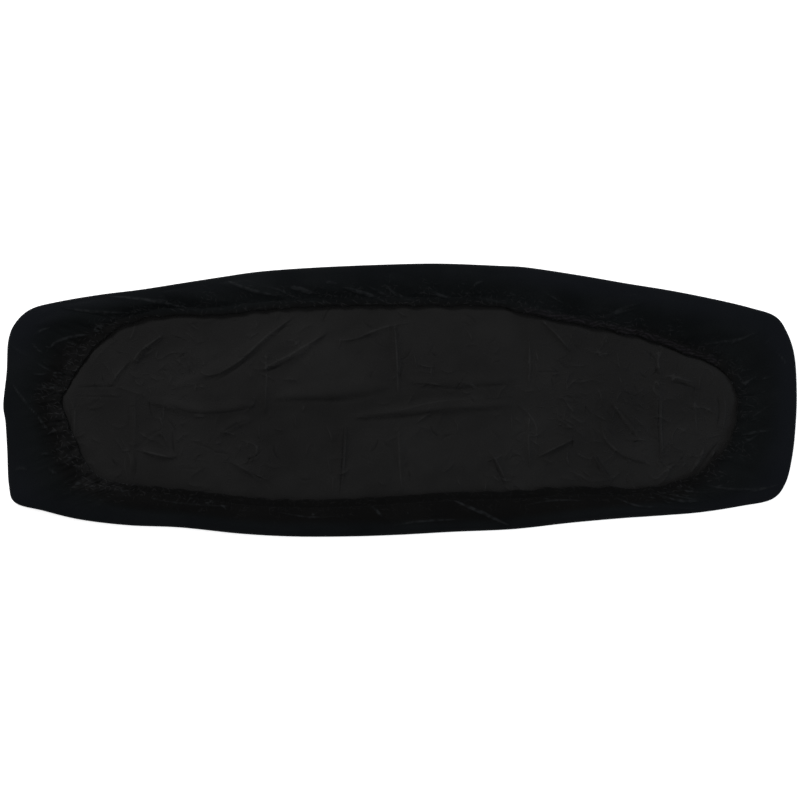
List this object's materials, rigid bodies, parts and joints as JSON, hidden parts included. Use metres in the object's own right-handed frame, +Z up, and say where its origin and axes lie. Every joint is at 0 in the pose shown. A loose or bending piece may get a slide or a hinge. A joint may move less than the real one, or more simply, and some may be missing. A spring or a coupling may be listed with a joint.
{
  "type": "piano cover",
  "caption": "Long velvet dust cover for a keyboard, lying flat on its top with its skirt folded in and gathered by an elastic hem around the open mouth.",
  "frame": {"origin": "on the surface that the cover lies on, under the middle of its outline", "axes": "+X along the keyboard, +Y across it towards the far long side, +Z up out of the mouth"},
  "size_m": [1.4, 0.4826, 0.026],
  "materials": {
    "velvet": "matt black velvet with a faint cool sheen outside, charcoal knitted back inside"
  },
  "bodies": {
    "root": {"cover_cloth": "velvet"}
  },
  "joints": []
}
